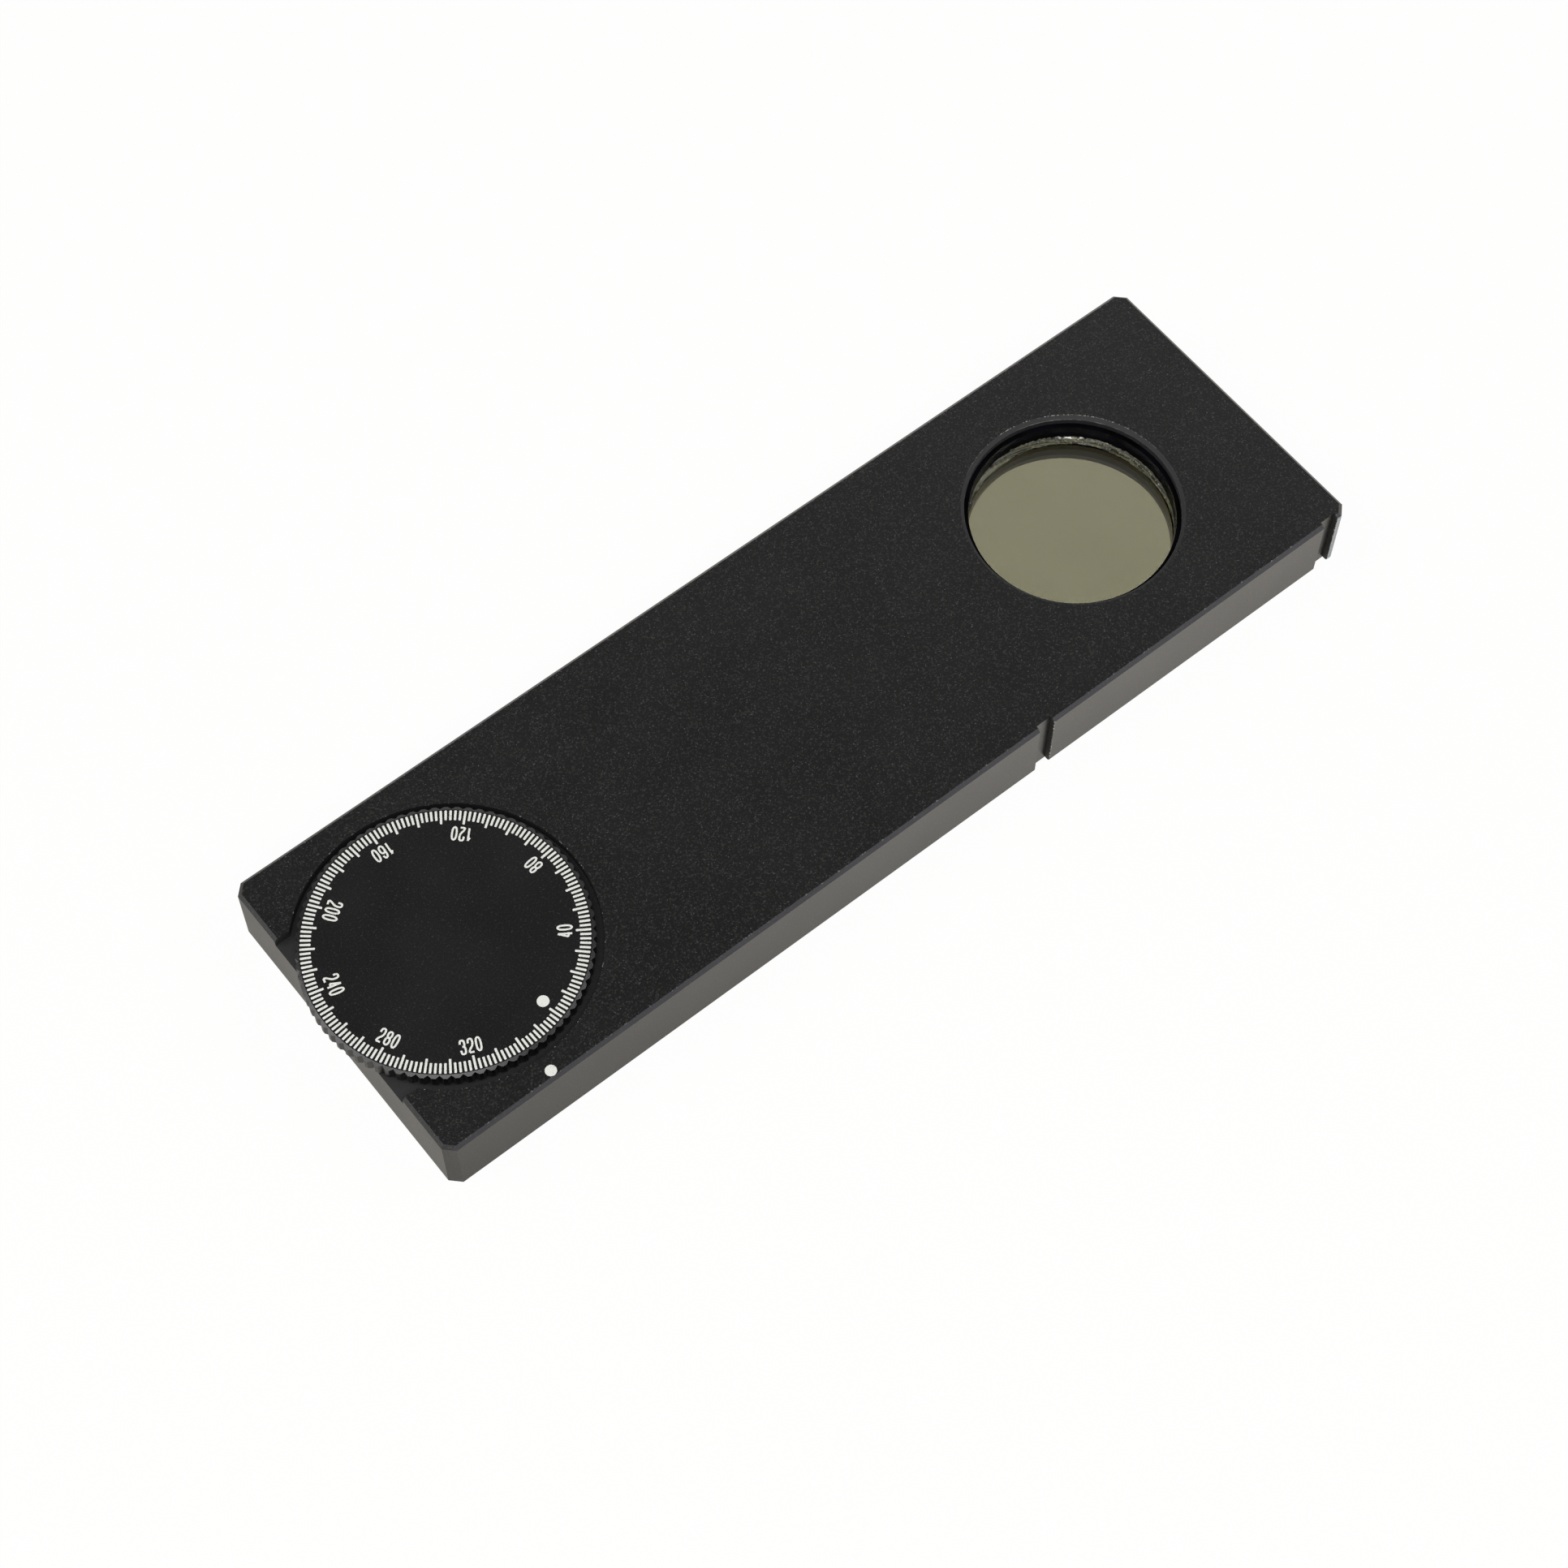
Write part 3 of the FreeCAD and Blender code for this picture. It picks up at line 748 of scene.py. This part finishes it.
def numeral_mesh(numeral, sizes):
    """One numeral as a painted stroke, its foot in the middle of the origin's line, its top towards +Y."""
    half_width = (sizes.digit_width - sizes.stroke_width) / 2
    height = sizes.digit_height - sizes.stroke_width
    curve = bpy.data.curves.new("numeral_" + numeral, "CURVE")
    curve.dimensions = "3D"
    curve.bevel_depth = sizes.stroke_width / 2
    curve.bevel_resolution = 2
    curve.resolution_u = 5
    curve.use_fill_caps = True
    for closed, points in NUMERALS[numeral]:
        spline = curve.splines.new("NURBS")
        spline.points.add(len(points) - 1)
        for point, (across, up) in zip(spline.points, points):
            point.co = (across * half_width, up * height + sizes.stroke_width / 2, 0.0, 1.0)
        spline.order_u = 3
        spline.use_cyclic_u = closed
        spline.use_endpoint_u = not closed
    drawn = bpy.data.objects.new("numeral_" + numeral, curve)
    bpy.context.scene.collection.objects.link(drawn)
    mesh = bpy.data.meshes.new_from_object(drawn.evaluated_get(bpy.context.evaluated_depsgraph_get()))
    bpy.data.objects.remove(drawn)
    return mesh


def painted_dot(context, name, centre, width, surface, body):
    """A round dot of paint, half sunk in the surface that carries it."""
    thick = context.scene.analyzer_scale.paint_thick
    bm = bmesh.new()
    disc(bm, centre, width / 2, surface - thick, surface + thick, 0.3 * thick, 48)
    finish_piece(bm, name, paint_material(context), body)


class ANALYZER_OT_numbers(bpy.types.Operator):
    """Paint the numbers 40 to 320 and the zero dot, their feet outwards."""

    bl_idname = "analyzer.numbers"
    bl_label = "Scale numbers"

    def execute(self, context):
        sizes = context.scene.analyzer_scale
        shapes = {numeral: numeral_mesh(numeral, sizes) for numeral in NUMERALS}
        flatten = 2 * sizes.paint_thick / sizes.stroke_width
        step = sizes.digit_width + sizes.digit_gap
        bm = bmesh.new()
        centre = Vector((DIAL_AXIS.x, DIAL_AXIS.y, DIAL_HIGH.z))
        for number in range(DEGREES_A_NUMBER, 360, DEGREES_A_NUMBER):
            angle = sizes.zero_direction + math.radians(number)
            foot = centre + Matrix.Rotation(angle, 3, "Z") @ Vector((sizes.number_radius, 0.0, 0.0))
            turned = Matrix.Translation(foot) @ Matrix.Rotation(angle + math.pi / 2, 4, "Z")
            text = str(number)
            for place, numeral in enumerate(text):
                first = len(bm.verts)
                bm.from_mesh(shapes[numeral])
                bm.verts.ensure_lookup_table()
                shift = (place - (len(text) - 1) / 2) * step
                matrix = turned @ Matrix.Translation((shift, 0.0, 0.0)) @ Matrix.Diagonal((1, 1, flatten, 1))
                bmesh.ops.transform(bm, matrix=matrix, verts=bm.verts[first:])
        finish_piece(bm, "scale_numbers", paint_material(context), "dial_group", 60.0)
        outward = Matrix.Rotation(sizes.dot_direction, 3, "Z") @ Vector((sizes.dot_radius, 0.0, 0.0))
        painted_dot(context, "zero_dot", DIAL_AXIS + outward, sizes.dot_width, DIAL_HIGH.z, "dial_group")
        return {"FINISHED"}


class ANALYZER_OT_index_dot(bpy.types.Operator):
    """Paint the index dot on the slider's top face, beside the dial."""

    bl_idname = "analyzer.index_dot"
    bl_label = "Index dot"

    def execute(self, context):
        sizes = context.scene.analyzer_scale
        centre = Vector((DIAL_AXIS.x - 0.1 * MM, BODY_LOW.y + sizes.index_inset, 0.0))
        painted_dot(context, "index_dot", centre, sizes.index_width, BODY_HIGH.z, "slider")
        return {"FINISHED"}


class ANALYZER_OT_glass(bpy.types.Operator):
    """Make the two glass discs and the polarizing film between them, a bond line apart."""

    bl_idname = "analyzer.glass"
    bl_label = "Glass and film"

    def execute(self, context):
        scene = context.scene
        sizes = scene.analyzer_window
        clear = glass_finish()
        film = film_finish(scene.analyzer_colours)
        half_bond = sizes.bond / 2
        radius = (GLASS_HIGH.x - GLASS_LOW.x) / 2
        layers = [
            ("upper_glass_disc", "upper_glass", GLASS_LOW.z + half_bond, GLASS_HIGH.z, clear, "cover_glass"),
            ("polarizing_film_disc", "polarizing_film", FILM_LOW.z + half_bond, FILM_HIGH.z - half_bond, film,
             "polarizing_film"),
            ("lower_glass_disc", "lower_glass", LOWER_LOW.z + half_bond, LOWER_HIGH.z - half_bond, clear,
             "cover_glass"),
        ]
        for name, node, low, high, material, slot in layers:
            bm = bmesh.new()
            disc(bm, WINDOW_AXIS, radius, low, high, sizes.edge_bevel, 128)
            piece = finish_piece(bm, name, material, "cell_group")
            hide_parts(node)
        return {"FINISHED"}


class ANALYZER_OT_cement(bpy.types.Operator):
    """Make the uneven bead of cement in the corner between the upper glass and the cell's wall."""

    bl_idname = "analyzer.cement"
    bl_label = "Cement bead"

    def execute(self, context):
        scene = context.scene
        sizes = scene.analyzer_window
        bm = bmesh.new()
        wall = sizes.bore_radius - 0.01 * MM
        floor = GLASS_HIGH.z + 0.005 * MM
        section = [
            (wall, 0.0),
            (wall, sizes.bead_height),
            (wall - 0.25 * sizes.bead_width, 0.55 * sizes.bead_height),
            (wall - 0.6 * sizes.bead_width, 0.3 * sizes.bead_height),
            (wall - sizes.bead_width, 0.0),
        ]
        axis = WINDOW_AXIS
        corners = [bm.verts.new((axis.x + radius, axis.y, floor + up)) for radius, up in section]
        edges = [bm.edges.new((first, second)) for first, second in zip(corners, corners[1:] + corners[:1])]
        bmesh.ops.spin(bm, geom=corners + edges, cent=(axis.x, axis.y, 0.0), axis=(0, 0, 1),
                       angle=2 * math.pi, steps=360, use_merge=True)
        bmesh.ops.remove_doubles(bm, verts=bm.verts, dist=0.002 * MM)
        # The bead is fullest at the back, runs out to a trace opposite, and is wavy at two scales
        full_direction = math.radians(50)
        full_side = Vector((math.cos(full_direction), math.sin(full_direction), 0.0))
        for vertex in bm.verts:
            out = Vector((vertex.co.x - axis.x, vertex.co.y - axis.y, 0.0))
            inward = wall - out.length
            coarse = noise.noise(vertex.co / (1.6 * MM))
            fine = noise.noise(vertex.co / (0.35 * MM))
            share = min(1.0, 0.15 + 1.1 * max(0.0, out.normalized().dot(full_side)))
            width = share * (1.0 + 0.2 * coarse + 0.15 * fine)
            vertex.co += out.normalized() * inward * (1.0 - width)
            vertex.co.z = floor + (vertex.co.z - floor) * share * (1.0 + 0.9 * fine)
        material = cement_finish(scene.analyzer_colours)
        finish_piece(bm, "cement_bead", material, "cell_group", 80.0)
        return {"FINISHED"}


def screw(bm, centre, sizes):
    """A countersunk screw, head down and flush with the underside, with a hexagon for the key."""
    chamfer = 0.08 * MM
    rings = [
        (sizes.head_radius - chamfer, 0.0),
        (sizes.head_radius, chamfer),
        (sizes.shank_radius, sizes.head_height),
        (sizes.shank_radius, sizes.length - 2 * chamfer),
        (sizes.shank_radius - 2 * chamfer, sizes.length),
    ]
    radius, z = rings[0]
    start = circle(bm, centre, radius, z, 48)
    edges = rim_edges(start)
    for next_radius, next_z in rings[1:]:
        rim, edges = step_rim(bm, edges)
        set_radius(bm, rim, centre, radius, next_radius)
        bmesh.ops.translate(bm, vec=(0.0, 0.0, next_z - z), verts=rim)
        radius, z = next_radius, next_z
    bmesh.ops.contextual_create(bm, geom=edges)
    key = circle(bm, centre, sizes.key_width / math.sqrt(3), 0.0, 6)
    bmesh.ops.bridge_loops(bm, edges=rim_edges(start) + rim_edges(key))
    rim, edges = step_rim(bm, rim_edges(key))
    bmesh.ops.translate(bm, vec=(0.0, 0.0, sizes.key_depth), verts=rim)
    bmesh.ops.contextual_create(bm, geom=edges)


class ANALYZER_OT_cover_screws(bpy.types.Operator):
    """Make the three countersunk screws of the cover."""

    bl_idname = "analyzer.cover_screws"
    bl_label = "Cover screws"

    def execute(self, context):
        sizes = context.scene.analyzer_screws
        low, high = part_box("cover_screws")
        head = sizes.head_radius
        places = [Vector((low.x + head, low.y + head, 0.0)), Vector((low.x + head, high.y - head, 0.0)),
                  Vector((high.x - head, 0.0, 0.0))]
        bm = bmesh.new()
        for centre in places:
            screw(bm, centre, sizes)
        piece = finish_piece(bm, "countersunk_screws", black_oxide_finish(), "slider")
        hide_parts("cover_screws")
        return {"FINISHED"}


class ANALYZER_OT_finishes(bpy.types.Operator):
    """Give each carried CAD node the finish of its real material."""

    bl_idname = "analyzer.finishes"
    bl_label = "Finishes"

    def execute(self, context):
        colours = context.scene.analyzer_colours
        brass = brass_finish(colours)
        steel = ground_steel_finish(colours)
        finishes = {
            "slider_body": body_finish(colours),
            "cover_plate": cover_finish(colours),
            "analyzer_cell": cell_finish(colours),
            "retaining_ring": ring_finish(colours),
            "dial_washer": washer_finish(colours),
            "dial_spindle": steel,
            "drive_screw": black_oxide_finish(),
            "cluster_pin": steel,
            "idler_pin_1": steel,
            "idler_pin_2": steel,
            "drive_gear": brass,
            "cluster_pinion": brass,
            "cluster_wheel": brass,
            "idler_gear_1": brass,
            "idler_gear_2": brass,
        }
        for node, material in finishes.items():
            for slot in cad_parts[node].material_slots:
                slot.material = material
        return {"FINISHED"}


def camera(scene):
    """The photograph's camera, worked out from the slider's edges and the rims of the dial and the window."""
    # The axes of its picture
    right = Vector((0.78083927, -0.62471256, 0.00492517))
    down = Vector((-0.54855803, -0.68938236, -0.47311314))
    forward = Vector((0.29895505, 0.36672358, -0.88098791))
    data = bpy.data.cameras.new("photo_camera")
    data.sensor_width = 36.0
    data.lens = 77.47
    data.clip_start = 0.01
    data.clip_end = 20.0
    view = bpy.data.objects.new("photo_camera", data)
    turn = Matrix((right, -down, -forward)).transposed().to_4x4()
    view.matrix_world = Matrix.Translation((-113.98 * MM, -137.04 * MM, 321.12 * MM)) @ turn
    scene.collection.objects.link(view)
    scene.camera = view


def floor_material(colours):
    """Seamless white paper: white to the camera and through glass, and it keeps the object's shadow.

    Gloss sees it with painted light: white under the window, and elsewhere dimmed by a painted shadow towards
    the slider and the dial end.
    """
    material, tree, shader, place = blank_material("seamless_paper")
    shader.inputs["Base Color"].default_value = opaque(colours.floor)
    shader.inputs["Roughness"].default_value = 0.9
    paths = add_node(tree, "ShaderNodeLightPath").outputs
    in_view = any_of(tree, paths["Is Camera Ray"], paths["Is Transmission Ray"])
    x, y = axes_of(tree, place)[:2]
    # Painted light, seen in gloss only: the floor's glow is dimmed towards the dial end and beside the slider
    # as painted shadow, and is full under the window as painted light falling through it
    along = spread(tree, x, BODY_LOW.x, 20 * MM, 0.7, 1.0)
    beside = spread(tree, y, BODY_LOW.y - 5 * MM, BODY_LOW.y, 1.0, 0.78)
    window_light = short_of(tree, radius_from(tree, place, WINDOW_AXIS), 14 * MM, 2 * MM)
    level = any_of(tree, all_of(tree, along, beside), window_light, in_view)
    tint = blended(tree, in_view, opaque(colours.floor), WHITE)
    white = add_node(tree, "ShaderNodeEmission", inputs={"Color": tint, "Strength": level})
    share = any_of(tree, all_of(tree, in_view, 0.95), paths["Is Glossy Ray"])
    mix = add_node(tree, "ShaderNodeMixShader", inputs={
        0: share, 1: shader.outputs["BSDF"], 2: white.outputs["Emission"]})
    output = [node for node in tree.nodes if node.bl_idname == "ShaderNodeOutputMaterial"][0]
    tree.links.new(mix.outputs["Shader"], output.inputs["Surface"])
    return material


def studio_world(scene):
    """A dim studio, white to the camera. Gloss and glass see white low, and a bank at the back right."""
    world = bpy.data.worlds.new("studio")
    world.use_nodes = True
    tree = world.node_tree
    tree.nodes.clear()
    paths = add_node(tree, "ShaderNodeLightPath").outputs
    direction = add_node(tree, "ShaderNodeTexCoord").outputs["Generated"]
    horizon = spread(tree, axes_of(tree, direction)[2], 0.33, 0.5, 1.0, 0.0)
    back_right = vector_math(tree, "DOT_PRODUCT", direction, (1.65, 1.67, 0.0), output="Value")
    bank = spread(tree, back_right, 0.96, 1.83, 0.01, 0.66)
    gloss_or_glass = any_of(tree, paths["Is Glossy Ray"], paths["Is Transmission Ray"])
    bright_parts = all_of(tree, any_of(tree, horizon, bank), gloss_or_glass)
    dim = 0.08
    level = any_of(tree, paths["Is Camera Ray"], bright_parts, dim)
    sky = add_node(tree, "ShaderNodeBackground", inputs={"Color": WHITE, "Strength": level})
    add_node(tree, "ShaderNodeOutputWorld", inputs={"Surface": sky.outputs["Background"]})
    scene.world = world


def softbox(scene, name, azimuth, elevation, size, power):
    """A square lamp that faces the middle of the slider."""
    data = bpy.data.lights.new(name, "AREA")
    data.shape = "SQUARE"
    data.size = size
    data.energy = power
    lamp = bpy.data.objects.new(name, data)
    turn = Matrix.Rotation(math.radians(azimuth), 3, "Z") @ Matrix.Rotation(-math.radians(elevation), 3, "Y")
    away = turn @ Vector((1, 0, 0))
    facing = away.to_track_quat("Z", "Y").to_matrix().to_4x4()
    lamp.matrix_world = Matrix.Translation(away * LAMP_DISTANCE) @ facing
    scene.collection.objects.link(lamp)


class ANALYZER_OT_stage(bpy.types.Operator):
    """Lay the white floor, set the soft lamps and the studio, and place the camera."""

    bl_idname = "analyzer.stage"
    bl_label = "Stage"

    def execute(self, context):
        scene = context.scene
        bm = bmesh.new()
        bmesh.ops.create_grid(bm, x_segments=1, y_segments=1, size=4.0)
        bmesh.ops.translate(bm, vec=(0.0, 0.0, -0.02 * MM), verts=bm.verts)
        mesh = bpy.data.meshes.new("studio_floor")
        bm.to_mesh(mesh)
        bm.free()
        mesh.materials.append(floor_material(scene.analyzer_colours))
        floor = bpy.data.objects.new("studio_floor", mesh)
        scene.collection.objects.link(floor)
        studio_world(scene)
        for values in SOFTBOXES:
            softbox(scene, *values)
        camera(scene)
        scene.view_settings.view_transform = "Standard"
        return {"FINISHED"}


class ANALYZER_PT_panel(bpy.types.Panel):
    """The analyzer's pieces and sizes."""

    bl_label = "Polarization analyzer"
    bl_idname = "ANALYZER_PT_panel"
    bl_space_type = "VIEW_3D"
    bl_region_type = "UI"
    bl_category = "Analyzer"

    def draw(self, context):
        layout = self.layout
        for operator in OPERATORS:
            layout.operator(operator.bl_idname)
        for group in GROUPS:
            box = layout.box()
            box.label(text=group.__doc__)
            values = getattr(context.scene, GROUPS[group])
            for name in group.__annotations__:
                box.prop(values, name)


OPERATORS = (ANALYZER_OT_stage, ANALYZER_OT_finishes, ANALYZER_OT_dial, ANALYZER_OT_ticks,
             ANALYZER_OT_numbers, ANALYZER_OT_index_dot, ANALYZER_OT_glass, ANALYZER_OT_cement,
             ANALYZER_OT_cover_screws)
GROUPS = {AnalyzerDialSizes: "analyzer_dial", AnalyzerScaleSizes: "analyzer_scale",
          AnalyzerWindowSizes: "analyzer_window", AnalyzerScrewSizes: "analyzer_screws",
          AnalyzerColours: "analyzer_colours"}


def register():
    """Adds the classes and gives the scene its groups of sizes and colours."""
    for group, name in GROUPS.items():
        bpy.utils.register_class(group)
        setattr(bpy.types.Scene, name, PointerProperty(type=group))
    for operator in OPERATORS:
        bpy.utils.register_class(operator)
    bpy.utils.register_class(ANALYZER_PT_panel)


def unregister():
    """Takes the groups and the classes away again."""
    bpy.utils.unregister_class(ANALYZER_PT_panel)
    for operator in reversed(OPERATORS):
        bpy.utils.unregister_class(operator)
    for group, name in GROUPS.items():
        delattr(bpy.types.Scene, name)
        bpy.utils.unregister_class(group)


def main():
    """Makes the stage, the finishes and the pieces."""
    register()
    bpy.ops.analyzer.stage()
    bpy.ops.analyzer.finishes()
    bpy.ops.analyzer.dial()
    bpy.ops.analyzer.ticks()
    bpy.ops.analyzer.numbers()
    bpy.ops.analyzer.index_dot()
    bpy.ops.analyzer.glass()
    bpy.ops.analyzer.cement()
    bpy.ops.analyzer.cover_screws()


if __name__ == "__main__":
    main()
